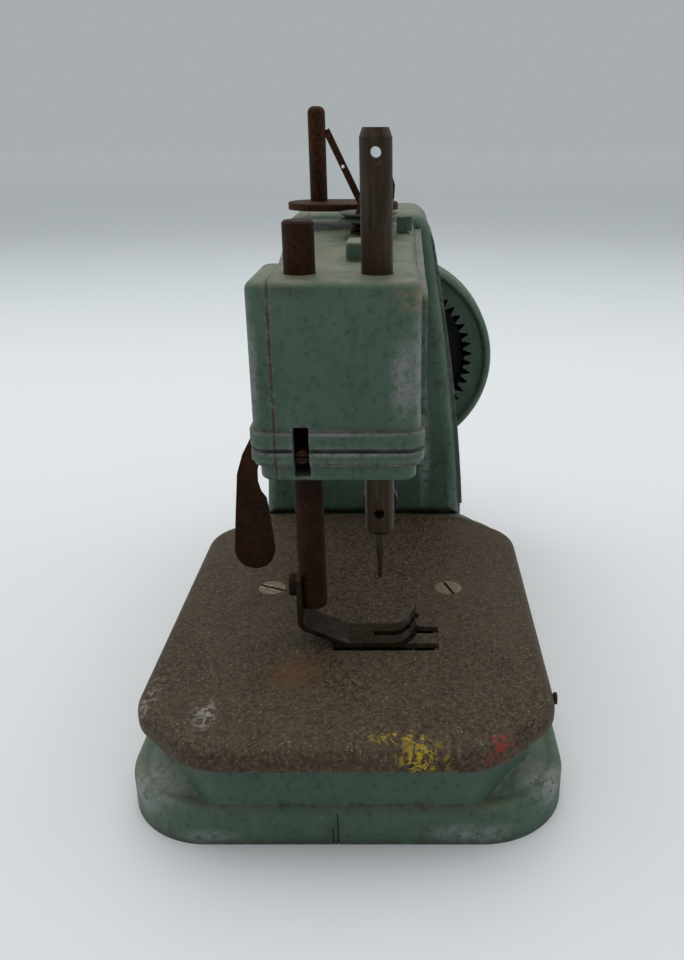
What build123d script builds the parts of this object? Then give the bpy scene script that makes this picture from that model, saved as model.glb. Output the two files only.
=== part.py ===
"""Hand-cranked miniature chain-stitch sewing machine, built as separate pieces.

Row frame, in millimetres: +X runs along the arm from the needle head to the hand wheel, +Y points to the
back, away from the person who sews, and +Z is up. The origin is on the table, at the middle of the
machine's overall length and width.
"""
from build123d import *
from math import acos, atan2, cos, degrees, hypot, pi, radians, sin, tan
import os

os.makedirs("parts", exist_ok=True)

# ---------------------------------------------------------------- driving dimensions
overall_length = 206.0
near_x = -overall_length / 2

# base and bed
base_near_x = near_x + 3.4
base_length = 163.0
base_width = 102.0
base_near_corner = 20.0
base_far_corner = 30.0
base_wall = 3.0
skirt_height = 9.8
shoulder_height = 15.0
shoulder_inset = 10.0
bed_top = 27.8
bed_sheet = 1.4
bed_lip = 5.0
bed_length = 124.2
bed_width = 96.4
bed_corner = 16.0
bed_corner_rounding = 15.0
deck_top = bed_top - bed_sheet
deck_thickness = 3.0
deck_inset = 5.0
foot_half_width = 33.0
bed_screw_x = near_x + 71.5
bed_screw_y = (-25.8, 24.0)
flash_line_y = (1.4, 2.5)

# head, arm and column
seam_y = 15.2
head_near_x = near_x + 33.4
head_length = 27.8
head_front_y = -17.0
head_back_y = 20.2
head_bottom = 75.0
head_top = 119.6
head_floor = 4.0
head_bands = ((83.3, 86.9, 0.9), (79.9, 82.3, 0.8))
arm_bottom = 84.0
arm_back_near_y = 16.2
arm_back_far_y = 20.2
column_near_x = near_x + 124.8
column_far_x = near_x + 164.0
column_top = 125.0
column_y = 0.65
column_half_bottom = 32.5
column_half_middle = 28.3
column_half_top = 20.8
wall = 2.6

# needle and presser bars
bar_radius = 3.45
slide_gap = 0.06
needle_x = near_x + 44.5
needle_y = -7.4
presser_y = 9.4
needle_bar_bottom = 58.2
needle_bar_top = 149.0
needle_tip = 45.6
needle_stroke = 24.0
presser_bar_bottom = 38.2
presser_bar_top = 130.7
presser_lift = 4.5

# hand wheel and gears
drive_y = -8.8
wheel_z = 70.0
wheel_radius = 36.4
wheel_near_x = near_x + 166.8
ring_teeth = 50
pinion_teeth = 12
ring_module = 1.1
train_module = 1.0
shaft_gear_teeth = 20
idler_teeth = 30
pinion_z = wheel_z + (ring_teeth - pinion_teeth) * ring_module / 2
looper_shaft_z = 13.6
train_near_x = near_x + 147.0
train_width = 5.0
shaft_radius = 2.5
running_gap = 0.05

# needle lever
lever_pivot_x = near_x + 100.0
lever_pivot_z = 99.5
lever_arm = lever_pivot_x - needle_x
lever_half_angle = degrees(atan2(needle_stroke / 2, lever_arm))

# lifter
lifter_x = near_x + 50.2
lifter_y = 11.8
lifter_z = 84.5
lifter_swing = 80.0
handle_y = 24.15
handle_z = 50.4
handle_radius = 5.0

# where the train, the crank and the yoke stand
axle_radius = 3.5
hub_bore = axle_radius + running_gap
bush_radius = 4.0
idler_pin_radius = 2.0
web_near_x = near_x + 142.8
web_width = 3.0
web_near = 9.0
web_far = 12.0
ring_root = ring_teeth * ring_module / 2 + 1.9
ring_tip = ring_teeth * ring_module / 2 - 1.0
crank_reach = 26.0
stud_radius = 2.0
crank_disc_x = near_x + 139.4
crank_pin_radius = 2.0
crank_pin_length = 2.1
lever_tail = 33.2
lever_tail_drop = lever_pivot_z - pinion_z
tail_slope = -lever_tail_drop / lever_tail
crank_throw = lever_tail * sin(radians(lever_half_angle))
lever_near_y = -1.7
lever_far_y = 1.3
yoke_thickness = 3.0
yoke_half_slot = 2.75
yoke_rivet_x = (22.0, 28.0)
drive_pin_z = lever_pivot_z + needle_stroke / 2
clamp_z = 64.0

# presser details
head_roof = 2.8
foot_flat = 2.3
foot_sheet = 1.3
foot_top = 47.2
foot_gap = 0.35
foot_screw_z = 43.4
guide_screw_z = 80.8
cam_low = 3.5
lift_pin_radius = 0.9
lift_slack = 0.6

# feed details
feed_rod_radius = 2.0
feed_rod_x = near_x + 63.0
feed_rod_z = 20.2
feed_pin_radius = 1.2
feed_cam_radius = 4.4
feed_cam_offset = 1.3
feed_travel = 1.4
feed_pin_x = near_x + 56.2
feed_pin_y = (-12.8, -2.0)

# thread tension and spool
tension_x = near_x + 96.0
tension_y = -3.7
tension_seat = 122.3
spool_plate_length = 31.3
spool_plate_width = 19.0
spool_plate_sheet = 2.0
spool_plate_x = near_x + 114.5
spool_plate_y = 4.1
spool_plate_z = 127.2
spool_screw_x = near_x + 115.0
spool_screw_y = -3.5
spool_pin_x = near_x + 117.0
spool_pin_y = 11.2
spool_pin_radius = 2.45
spool_pin_top = 154.4

# screws and slots
bed_side_x = near_x + 23.0
bed_side_z = 25.0
column_bolts = [(column_near_x + 10, -27.5), (column_far_x - 9, -27.5)]
cover_bolts = [(column_near_x + 10, 26.5), (column_far_x - 9, 26.5)]
feed_slot_near_x = needle_x - 3.9
feed_slot_far_x = needle_x + 4.1
feed_slot_y = -8.8
feed_slot_length = 26.5
feed_slot_width = 3.4
# each cover screw: its X, its Z and the Y of the face its head sits on
cover_screw_places = [
    (near_x + 54.4, 106.0, head_back_y - 0.8), (near_x + 103.0, 103.0, 18.0),
    (near_x + 156.0, 110.0, 22.0), (near_x + 134.0, 44.0, 29.0),
]

# the gear train's idlers, worked out from the two shafts they join
idler_radius = idler_teeth * train_module / 2
idler_reach = idler_radius + shaft_gear_teeth * train_module / 2
idler_drop = (pinion_z - looper_shaft_z - 2 * idler_radius) / 2
idler_y = drive_y + (idler_reach**2 - idler_drop**2) ** 0.5
upper_idler_z = pinion_z - idler_drop
lower_idler_z = looper_shaft_z + idler_drop


# ---------------------------------------------------------------- helpers
def save(shape, node):
    """Writes one node's STEP file."""
    solids = shape.solids()
    export_step(solids[0] if len(solids) == 1 else Compound(children=list(solids)), f"parts/{node}.step")


def block(x0, x1, y0, y1, z0, z1):
    """A box from its six limits."""
    return Pos((x0 + x1) / 2, (y0 + y1) / 2, (z0 + z1) / 2) * Box(x1 - x0, y1 - y0, z1 - z0)


def rod_x(radius, x0, x1, y, z):
    """A cylinder along X."""
    return Pos((x0 + x1) / 2, y, z) * Rot(0, 90, 0) * Cylinder(radius, x1 - x0)


def rod_y(radius, y0, y1, x, z):
    """A cylinder along Y."""
    return Pos(x, (y0 + y1) / 2, z) * Rot(90, 0, 0) * Cylinder(radius, y1 - y0)


def rod_z(radius, z0, z1, x, y):
    """A cylinder along Z."""
    return Pos(x, y, (z0 + z1) / 2) * Cylinder(radius, z1 - z0)


def facing_x(x, y=0.0, z=0.0):
    """A plane whose local x is +Y and local y is +Z, looking along +X."""
    return Plane(origin=(x, y, z), x_dir=(0, 1, 0), z_dir=(1, 0, 0))


def facing_y(y, x=0.0, z=0.0):
    """A plane whose local x is +X and local y is +Z, looking along -Y."""
    return Plane(origin=(x, y, z), x_dir=(1, 0, 0), z_dir=(0, -1, 0))


def slab_xz(outline, y0, y1):
    """Extrudes an outline, drawn in X and Z, from y0 to y1."""
    return extrude(facing_y(y1) * outline, amount=y1 - y0)


def slab_yz(outline, x0, x1):
    """Extrudes an outline, drawn in Y and Z, from x0 to x1."""
    return extrude(facing_x(x0) * outline, amount=x1 - x0)


def upright_edges(shape):
    """The edges that run along Z."""
    return shape.edges().filter_by(Axis.Z)


def cut_corner_outline(length, width, corner, rounding):
    """A rectangle with its corners cut at 45 degrees and the cuts' ends rounded, from x = 0."""
    half = width / 2
    points = [
        (corner, -half), (length - corner, -half), (length, corner - half), (length, half - corner),
        (length - corner, half), (corner, half), (0, half - corner), (0, corner - half),
    ]
    face = make_face(Polyline(*points, close=True))
    return fillet(face.vertices(), rounding)


def screw_slot(length, width, depth):
    """The cutter for a screwdriver slot, with its mouth at z = 0."""
    return Pos(0, 0, -depth / 2) * Box(length, width, depth + 0.002)


# ---------------------------------------------------------------- gears
def involute(angle):
    return tan(angle) - angle


def gear_face(teeth, module, tip_radius, root_radius, phase, thinning):
    """A toothed outline with involute flanks. phase is the angle of one tooth's middle, in degrees, and
    thinning is what is taken off the tooth's thickness at the pitch circle."""
    pitch_radius = teeth * module / 2
    base_radius = pitch_radius * cos(radians(20))
    middle = pi / (2 * teeth) - thinning / (2 * pitch_radius) + involute(radians(20))

    def half_angle(radius):
        pressure = acos(min(1.0, base_radius / radius))
        return middle - involute(pressure)

    points = []
    for tooth in range(teeth):
        centre = radians(phase) + 2 * pi * tooth / teeth
        radii = (max(root_radius, base_radius), pitch_radius, tip_radius)
        rising = [(r, centre - half_angle(r)) for r in radii]
        falling = [(r, centre + half_angle(r)) for r in reversed(radii)]
        if root_radius < base_radius:
            rising.insert(0, (root_radius, centre - half_angle(base_radius)))
            falling.append((root_radius, centre + half_angle(base_radius)))
        points += [(r * cos(a), r * sin(a)) for r, a in rising + falling]
    return make_face(Polyline(*points, close=True))


def spur_gear(teeth, module, phase, x0, x1, y, z, bore):
    """A spur gear along X with a round bore."""
    pitch_radius = teeth * module / 2
    face = gear_face(teeth, module, pitch_radius + 0.95 * module, pitch_radius - 1.25 * module, phase, 0.22)
    gear = extrude(facing_x(x0, y, z) * face, amount=x1 - x0)
    return gear - rod_x(bore, x0 - 1, x1 + 1, y, z)


def meshing_phase(phase, direction, teeth, next_teeth):
    """The phase of a gear that meshes with another, whose own phase is given, where direction is the angle
    from the first gear's centre to the next one's."""
    return direction + 180 - (phase - direction) * teeth / next_teeth + 180 / next_teeth


# ---------------------------------------------------------------- base and bed
def base_outline(inset):
    """The base's outline, drawn in towards its middle by inset."""
    face = Rectangle(base_length - 2 * inset, base_width - 2 * inset)
    corners = face.vertices().sort_by(Axis.X)
    face = fillet(corners[:2], max(4.0, base_near_corner - inset))
    face = fillet(face.vertices().sort_by(Axis.X)[-2:], max(4.0, base_far_corner - inset))
    return Pos(base_near_x + base_length / 2, 0) * face


def deck(inset, z0, z1):
    """The raised part under the bed, drawn in by inset, with the foot that the column stands on."""
    edge = deck_inset + inset
    outline = cut_corner_outline(bed_length - 2 * edge, bed_width - 2 * edge, bed_corner - 0.6 * edge, 8.0)
    raised = Pos(near_x + edge, 0, z0) * extrude(outline, amount=z1 - z0)
    half = foot_half_width - inset
    return raised + block(near_x + 110, column_far_x + 1 - inset, column_y - half, column_y + half, z0, z1)


def base_casting():
    """The cast tray: a skirt, a sloping shoulder and a raised deck that carries the bed and the column."""
    skirt = extrude(base_outline(0), amount=skirt_height)
    skirt = fillet(skirt.edges().group_by(Axis.Z)[-1], 2.4)
    lower = Pos(0, 0, skirt_height - 2.0) * base_outline(1.2)
    upper = Pos(0, 0, shoulder_height) * base_outline(shoulder_inset)
    cast = skirt + loft([lower, upper]) + deck(0, skirt_height, deck_top)
    cast -= extrude(base_outline(base_wall), amount=skirt_height - base_wall)
    cast -= deck(base_wall, -1, deck_top - deck_thickness)
    cast -= block(near_x + 30, column_near_x - 4, -21, 17, 10, deck_top + 1)
    cast -= block(column_near_x + wall + 1, column_far_x - wall - 1, -25, 22, 10, deck_top + 1)
    cast = base_bearings(cast) - bed_groove()

    for y in bed_screw_y:
        cast += rod_z(5.0, deck_top - 10, deck_top, bed_screw_x, y)
        cast -= rod_z(1.6, deck_top - 9, deck_top + 1, bed_screw_x, y)
    for x, y in column_bolts + cover_bolts:
        cast += rod_z(5.5, deck_top - 8, deck_top, x, y)
        cast -= rod_z(2.1, deck_top - 9, deck_top + 1, x, y) + rod_z(3.6, -1, deck_top - 8, x, y)
    for y, height in zip(flash_line_y, (skirt_height, skirt_height / 2)):
        cast -= block(base_near_x - 1, base_near_x + 0.4, y - 0.12, y + 0.12, -1, height)
    return cast


def base_bearings(cast):
    """Adds the looper shaft's two hanging bearings and the feed rod's two seats to the base."""
    underside = deck_top - deck_thickness
    for x in (near_x + 74, near_x + 141):
        cast += block(x - 2.5, x + 2.5, drive_y - 6, drive_y + 6, looper_shaft_z - 6, underside + 1)
        cast += block(x - 2.5, x + 2.5, -29, 26, underside - 4, underside + 1)
        cast -= rod_x(shaft_radius + running_gap, x - 4, x + 4, drive_y, looper_shaft_z)
    for y in (-22.5, 20.5):
        cast += block(feed_rod_x - 3.5, feed_rod_x + 3.5, y - 2, y + 2, feed_rod_z - 3.5, deck_top - 2)
    return cast - rod_y(feed_rod_radius, -24.5, 22.5, feed_rod_x, feed_rod_z)


def bed_groove():
    """The groove in the deck that the bed's turned-down edge stands in, with room on both sides."""
    room = 0.4
    outline = cut_corner_outline(
        bed_length + 2 * room, bed_width + 2 * room, bed_corner, bed_corner_rounding
    )
    outer = extrude(outline, amount=bed_lip + 2)
    inside = bed_sheet + 2.0
    outline = cut_corner_outline(
        bed_length - 2 * inside, bed_width - 2 * inside, bed_corner - 0.6 * inside, bed_corner_rounding - 2
    )
    inner = extrude(outline, amount=bed_lip + 2)
    groove = Pos(-room, 0, 0) * outer - Pos(inside, 0, 0) * inner
    return Pos(near_x, 0, bed_top - bed_lip - room) * groove


def bed_plate():
    """The pressed steel bed, with its edge turned down all round."""
    outline = cut_corner_outline(bed_length, bed_width, bed_corner, bed_corner_rounding)
    outer = extrude(outline, amount=bed_lip)
    outer = fillet(outer.edges().group_by(Axis.Z)[-1], 3.2)
    inner_outline = cut_corner_outline(
        bed_length - 2 * bed_sheet, bed_width - 2 * bed_sheet, bed_corner - 0.6 * bed_sheet,
        bed_corner_rounding - 1,
    )
    inner = Pos(bed_sheet, 0, 0) * extrude(inner_outline, amount=bed_lip - bed_sheet)
    inner = fillet(inner.edges().group_by(Axis.Z)[-1], 1.8)
    plate = Pos(near_x, 0, bed_top - bed_lip) * (outer - inner)
    for x in (feed_slot_near_x, feed_slot_far_x):
        plate -= Pos(x, feed_slot_y, bed_top) * Box(feed_slot_width, feed_slot_length, 8)
    plate -= rod_z(1.3, bed_top - 4, bed_top + 1, needle_x, needle_y)
    plate -= rod_y(0.8, -60, -40, bed_side_x, bed_side_z)
    for y in bed_screw_y:
        sink = Pos(bed_screw_x, y, bed_top - 0.65) * Cone(2.3, 4.0, 1.3)
        plate -= sink + rod_z(2.1, bed_top - 4, bed_top, bed_screw_x, y)
    return plate


def bed_screws():
    """Two slotted countersunk screws that hold the bed down."""
    made = []
    for y, turn in zip(bed_screw_y, (20, 65)):
        head = Pos(0, 0, -0.65) * Cone(2.15, 3.85, 1.2)
        shank = Pos(0, 0, -4.8) * Cylinder(1.55, 7.4)
        screw = head + shank - Pos(0, 0, -0.05) * Rot(0, 0, turn) * screw_slot(9, 0.9, 0.75)
        made.append(Pos(bed_screw_x, y, bed_top) * screw)
    return Compound(children=made)


# ---------------------------------------------------------------- the body's shell
def column_outline(shrink, top, bottom):
    """The column seen along the arm: sides that lean in towards the top."""
    low, mid, high = (
        (column_half_bottom - shrink, bottom),
        (column_half_middle - shrink, (top + bottom) / 2),
        (column_half_top - shrink, top),
    )
    right = ThreePointArc(low, mid, high)
    left = ThreePointArc((-high[0], top), (-mid[0], mid[1]), (-low[0], bottom))
    face = make_face([Line((-low[0], bottom), low), right, Line(high, (-high[0], top)), left])
    corners = face.vertices().sort_by(Axis.Y)[-2:]
    return Pos(column_y, 0) * fillet(corners, 6.0 - min(shrink, 2.0))


def arm_outline(shrink):
    """The arm seen from the front, from inside the head to inside the column."""
    x0, x1 = head_near_x + 12, column_near_x + 12
    low = arm_bottom + shrink
    bend = 20.0
    foot_x = column_near_x + shrink
    top_slope = (column_top - head_top) / (column_near_x - head_near_x - head_length)

    def top_at(x):
        return head_top - 0.4 - shrink + top_slope * max(0.0, x - head_near_x - head_length)

    knee = head_near_x + head_length
    outline = [
        Line((x0, low), (foot_x - bend, low)),
        TangentArc((foot_x - bend, low), (foot_x, low - bend), tangent=(1, 0)),
        Line((foot_x, low - bend), (x1, low - bend)),
        Line((x1, low - bend), (x1, top_at(column_near_x) - 0.6)),
        Line((x1, top_at(column_near_x) - 0.6), (knee, top_at(knee))),
        Line((knee, top_at(knee)), (x0, top_at(knee))),
        Line((x0, top_at(knee)), (x0, low)),
    ]
    return make_face(outline)


def arm_plan(shrink):
    """The arm seen from above: its back slants out from the head to the column."""
    x0, knee, x1 = head_near_x + 12, head_near_x + head_length, column_near_x + 12
    front = head_front_y + 0.5 + shrink
    return make_face(Polyline(
        (x0, front), (x1, front), (x1, arm_back_far_y - shrink), (column_near_x, arm_back_far_y - shrink),
        (knee, arm_back_near_y - shrink), (x0, arm_back_near_y - shrink), close=True,
    ))


def arm_solid(shrink, rounding):
    """The arm, drawn in on every side by shrink, with its long upper edges rounded."""
    slab = slab_xz(arm_outline(shrink), head_front_y + 0.5 + shrink, arm_back_far_y - shrink)
    if rounding > 0:
        slab = fillet(slab.edges().filter_by(Axis.X).group_by(Axis.Z)[-1], rounding)
    return slab & extrude(arm_plan(shrink), amount=column_top + 10)


def rounded_block(x0, x1, y0, y1, z0, z1, upright, level):
    """A box with its upright edges rounded, and its upper edges too where level is above 0."""
    shape = block(x0, x1, y0, y1, z0, z1)
    shape = fillet(upright_edges(shape), upright)
    if level > 0:
        shape = fillet(shape.edges().group_by(Axis.Z)[-1], level)
    return shape


def body_outer():
    """The whole outside of head, arm and column as one solid."""
    column = slab_yz(column_outline(0, column_top, deck_top), column_near_x, column_far_x)
    column = fillet(column.faces().sort_by(Axis.X)[0].edges().filter_by(lambda e: e.length > 20), 3.5)
    head_far_x = head_near_x + head_length
    head = rounded_block(head_near_x, head_far_x, head_front_y, head_back_y, 79.0, head_top, 3.2, 2.2)
    shape = column + arm_solid(0, 3.0) + head
    for low, high, proud in head_bands:
        shape += rounded_block(
            head_near_x - proud, head_far_x + proud,
            head_front_y - proud, head_back_y + proud,
            low, high, 4.6, 0,
        )
    lip = block(head_near_x + 1, head_far_x - 1, head_front_y + 1, head_back_y - 1, head_bottom, 80.5)
    lip = fillet(upright_edges(lip), 3.6)
    lip = fillet(lip.edges().group_by(Axis.Z)[0], 1.0)
    return shape + lip


def body_cavity():
    """The room inside head, arm and column."""
    column = slab_yz(
        column_outline(wall, column_top - wall, deck_top - 1), column_near_x + wall, column_far_x - wall
    )
    head = block(
        head_near_x + wall, head_near_x + head_length - wall,
        head_front_y + wall, head_back_y - wall, head_bottom + head_floor, head_top - head_roof,
    )
    return column + arm_solid(wall, 0) + head


def front_half(shape):
    return shape & block(-200, 200, -200, seam_y, -10, 300)


def rear_half(shape):
    return shape & block(-200, 200, seam_y, 200, -10, 300)


def front_panel():
    """The low raised panel on the side that faces the person who sews."""
    proud = 1.3
    arm_part = slab_xz(
        make_face(Polyline(
            (head_near_x + 4, 89), (column_near_x - 4, 92.5), (column_near_x + 8, 92.5),
            (column_near_x + 8, 121.0), (head_near_x + head_length, 116.4), (head_near_x + 4, 116.4),
            close=True,
        )),
        head_front_y - proud, head_front_y + 2,
    )
    arm_part = fillet(arm_part.edges().filter_by(Axis.Y), 3.0)
    outline = column_outline(-proud, column_top - 3, deck_top + 3)
    column_part = slab_yz(outline, column_near_x + 3.5, column_far_x - 3)
    return arm_part + (column_part & block(-200, 200, -60, -12, 0, 300))


def body_casting():
    """The main casting: front wall, head, arm and column, open at the back."""
    outer = body_outer() + front_panel() + top_pads()
    outer += rounded_block(near_x + 63.5, near_x + 74, -9.6, 0.5, 112, 123.8, 1.0, 0.6)
    hollow = body_cavity()
    for boss in body_bosses():
        hollow -= boss
    cast = front_half(outer) - front_half(hollow)
    for bore in body_bores():
        cast -= bore
    return cast


def body_bosses():
    """What stands inside the shell: bar guide, pivot boss, shaft web, axle seats and screw lugs."""
    parts = [
        rod_z(5.2, 78, 84.5, needle_x, needle_y),
        rod_y(5.5, head_front_y + 1, -2.2, lever_pivot_x, lever_pivot_z),
        block(web_near_x, web_near_x + web_width, -24.5, 6, pinion_z - 8, pinion_z + 8),
        rod_x(7.5, column_far_x - 7, column_far_x, drive_y, pinion_z),
        rod_x(7.0, column_far_x - 7.5, column_far_x, drive_y, wheel_z),
        rod_x(2.9, lifter_x + 1.1, head_near_x + head_length - 1, lifter_y, lifter_z),
    ]
    for z in (upper_idler_z, lower_idler_z):
        parts.append(rod_x(5.0, column_far_x - 7, column_far_x - 1, idler_y, z))
    parts += [rod_z(4.0, deck_top, deck_top + 10, x, y) for x, y in column_bolts]
    for x, z, seat in cover_screw_places[:2]:
        parts.append(block(x - 3.2, x + 3.2, 4.5, seam_y, z - 3.5, column_top))
    for x, z, seat in cover_screw_places[2:]:
        parts.append(rod_y(3.6, -40, seam_y, x, z))
    return parts


def top_pads():
    """The two round pads on the arm's top that the thread tension and the spool bracket stand on."""
    tension_pad = rod_z(5.2, column_top - 8, tension_seat, tension_x, tension_y)
    return tension_pad + rod_z(4.2, column_top - 8, spool_plate_z - 1.2, spool_screw_x, spool_screw_y)


def body_bores():
    """Every hole bored into the main casting."""
    bar_bore = bar_radius + slide_gap
    bores = [rod_z(bar_bore, 70, 125, needle_x, y) for y in (needle_y, presser_y)]
    bores += [
        rod_y(2.5, -12, 0, lever_pivot_x, lever_pivot_z),
        rod_x(bush_radius, web_near_x - 1, web_near_x + web_width + 1, drive_y, pinion_z),
        rod_x(bush_radius, column_far_x - 8, column_far_x + 1, drive_y, pinion_z),
        rod_x(axle_radius, column_far_x - 6.5, column_far_x + 2, drive_y, wheel_z),
        rod_x(1.5, lifter_x, head_near_x + head_length - 3, lifter_y, lifter_z),
        block(head_near_x - 2, near_x + 42, presser_y - 1.75, presser_y + 1.75, head_bottom + 1.2, 88.0),
        rod_z(1.5, column_top - 12, column_top, tension_x, tension_y),
        rod_z(1.5, column_top - 10, column_top + 1, spool_screw_x, spool_screw_y),
    ]
    for z in (upper_idler_z, lower_idler_z):
        bores.append(rod_x(2.0, column_far_x - 9, column_far_x - 2, idler_y, z))
    bores += [rod_y(1.3, 5.5, seam_y + 1, x, z) for x, z, seat in cover_screw_places]
    return bores + [rod_z(1.65, deck_top - 1, deck_top + 8, x, y) for x, y in column_bolts]


def rear_cover():
    """The thin cast cover that closes head, arm and column at the back."""
    hollow = body_cavity()
    bores = []
    for x, z, seat in cover_screw_places:
        hollow -= rod_y(3.6, seam_y - 1, 60, x, z)
        bores += [rod_y(1.75, seam_y - 1, 60, x, z), rod_y(3.1, seat, 60, x, z)]
    for x, y in cover_bolts:
        hollow -= rod_z(4.0, deck_top - 1, deck_top + 10, x, y)
        bores.append(rod_z(1.65, deck_top - 1, deck_top + 8, x, y))
    cover = rear_half(body_outer()) - rear_half(hollow)
    for bore in bores:
        cover -= bore
    slot = block(
        lifter_x - 1.3, lifter_x + 1.3, seam_y - 1, head_back_y + 3, head_bottom - 2, lifter_z + 13,
    )
    return cover - slot


def cover_screws():
    """Four slotted screws that hold the rear cover on."""
    made = []
    for x, z, seat in cover_screw_places:
        head = rod_y(2.8, seat, seat + 1.8, x, z)
        head -= block(x - 4, x + 4, seat + 1.1, seat + 3, z - 0.4, z + 0.4)
        made.append(head + rod_y(1.3, 6, seat, x, z))
    return Compound(children=made)


def body_bolts():
    """Four slotted screws, put in from below, that hold head, arm and column on the base."""
    made = []
    for x, y in column_bolts + cover_bolts:
        head = rod_z(3.2, deck_top - 10.2, deck_top - 8, x, y)
        head -= block(x - 4, x + 4, y - 0.5, y + 0.5, deck_top - 11, deck_top - 9.3)
        made.append(head + rod_z(1.65, deck_top - 8, deck_top + 7, x, y))
    return Compound(children=made)


def bed_side_screw():
    """A little screw in the edge of the bed."""
    y = -bed_width / 2
    head = rod_y(1.4, y - 0.7, y, bed_side_x, bed_side_z)
    head -= block(bed_side_x - 2, bed_side_x + 2, y - 2, y - 0.35, bed_side_z - 0.2, bed_side_z + 0.2)
    return head + rod_y(0.8, y, y + 3.0, bed_side_x, bed_side_z)


# ---------------------------------------------------------------- hand wheel and crank
def turned(profile, y, z):
    """Turns a profile of (x, radius) points about a line along X."""
    face = make_face(Polyline(*profile, close=True))
    return Pos(0, y, z) * revolve(Plane.XZ * face, Axis.X)


def hand_wheel():
    """The hand wheel: rim, web and hub, with the ring of teeth inside the rim."""
    x = wheel_near_x
    profile = [
        (x, hub_bore), (x + 13, hub_bore), (x + 13, 7), (x + web_far, 7), (x + web_far, 30), (x + 13, 32),
        (x + 13.8, 33), (x + 13.8, 34.8), (x + 12.4, wheel_radius), (x + 2.4, wheel_radius), (x + 0.8, 35.9),
        (x, 34.8), (x + 0.3, 34.0), (x + 1.8, 33.4), (x + 1.8, ring_tip), (x + web_near, ring_tip),
        (x + web_near, 7), (x, 7),
    ]
    wheel = turned(profile, drive_y, wheel_z)
    spaces = gear_face(ring_teeth, ring_module, ring_root, ring_tip - 0.2, 90, -0.24)
    cutter = spaces - Circle(ring_tip - 3)
    wheel -= extrude(facing_x(x + 1, drive_y, wheel_z) * cutter, amount=web_near - 1)
    return wheel - rod_x(stud_radius, x + web_near - 0.5, x + 20, drive_y, wheel_z - crank_reach)


def wheel_axle():
    """The fixed stub that the wheel turns on, tapped at its end."""
    axle = rod_x(axle_radius, column_far_x - 6.5, wheel_near_x + 13.4, drive_y, wheel_z)
    return axle - rod_x(1.5, wheel_near_x + 5, wheel_near_x + 14, drive_y, wheel_z)


def axle_washers():
    """One washer on each side of the hub."""
    inner = rod_x(6.2, column_far_x, wheel_near_x - 0.3, drive_y, wheel_z)
    inner -= rod_x(axle_radius, column_far_x - 1, wheel_near_x + 1, drive_y, wheel_z)
    end = wheel_near_x + 13.4
    outer = rod_x(6.0, end, end + 1.0, drive_y, wheel_z) - rod_x(1.5, end - 1, end + 2, drive_y, wheel_z)
    return Compound(children=[inner, outer])


def axle_screw():
    """The slotted screw that keeps the wheel on."""
    end = wheel_near_x + 14.4
    profile = [(end, 0), (end, 4.4), (end + 1.6, 4.4), (end + 2.6, 3.0), (end + 2.6, 0)]
    head = turned(profile, drive_y, wheel_z)
    head -= block(end + 1.6, end + 4, drive_y - 0.5, drive_y + 0.5, wheel_z - 6, wheel_z + 6)
    return head + rod_x(1.5, end - 8, end, drive_y, wheel_z)


def crank_stud():
    """The shouldered pin riveted in the wheel's web, with a collar and a head that keep the knob on."""
    x, z = wheel_near_x, wheel_z - crank_reach
    far = near_x + overall_length
    stud = rod_x(stud_radius, x + web_near, far - 1.8, drive_y, z)
    stud += rod_x(3.4, x + web_far, x + web_far + 1.2, drive_y, z)
    head = turned([(far - 1.8, 0), (far - 1.8, 3.4), (far - 0.8, 3.2), (far, 1.8), (far, 0)], drive_y, z)
    return stud + head


def crank_knob():
    """The turned knob that spins on the crank stud."""
    x0 = wheel_near_x + web_far + 1.6
    x1 = near_x + overall_length - 2.2
    length = x1 - x0
    waist, belly = x0 + 0.30 * length, x0 + 0.66 * length
    curve = Spline((x0, 3.9), (waist, 4.4), (belly, 6.7), (x1 - 1.2, 5.6), (x1, 4.2))
    bore = stud_radius + running_gap
    ends = Polyline((x1, 4.2), (x1, bore), (x0, bore), (x0, 3.9))
    outline = [curve, ends]
    return Pos(0, drive_y, wheel_z - crank_reach) * revolve(Plane.XZ * make_face(outline), Axis.X)


# ---------------------------------------------------------------- upper shaft and gears
def ring(outer, inner, x0, x1, y, z):
    """A plain ring along X."""
    return rod_x(outer, x0, x1, y, z) - rod_x(inner, x0 - 1, x1 + 1, y, z)


def upper_shaft():
    return rod_x(shaft_radius, crank_disc_x, wheel_near_x + 8.2, drive_y, pinion_z)


def shaft_bushes():
    """Two bushes for the upper shaft: one in the web, one in the column's end wall."""
    bore = shaft_radius + running_gap
    near = ring(bush_radius, bore, web_near_x, web_near_x + web_width, drive_y, pinion_z)
    far = ring(bush_radius, bore, column_far_x - 7, column_far_x, drive_y, pinion_z)
    return Compound(children=[near, far])


def shaft_collar():
    return ring(4.6, shaft_radius, web_near_x + web_width + 0.3, train_near_x - 0.1, drive_y, pinion_z)


def pinion():
    """The pinion that the wheel's inner teeth drive."""
    x = wheel_near_x + 2.0
    return spur_gear(pinion_teeth, ring_module, 90, x, x + 5.6, drive_y, pinion_z, shaft_radius)


def crank_disc():
    """The disc on the upper shaft's near end that carries the crank pin."""
    disc = ring(10.0, shaft_radius, crank_disc_x, crank_disc_x + 2.6, drive_y, pinion_z)
    pin_z = pinion_z - crank_throw
    return disc - rod_x(crank_pin_radius, crank_disc_x - 1, crank_disc_x + 4, drive_y, pin_z)


def crank_pin():
    """The crank pin. It ends just short of the yoke, where the drive's closed loop is left open."""
    return rod_x(
        crank_pin_radius, crank_disc_x - crank_pin_length, crank_disc_x + 2.6, drive_y, pinion_z - crank_throw
    )


def shaft_gear():
    x = train_near_x
    return spur_gear(
        shaft_gear_teeth, train_module, 0, x, x + train_width, drive_y, pinion_z, shaft_radius
    )


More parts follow.
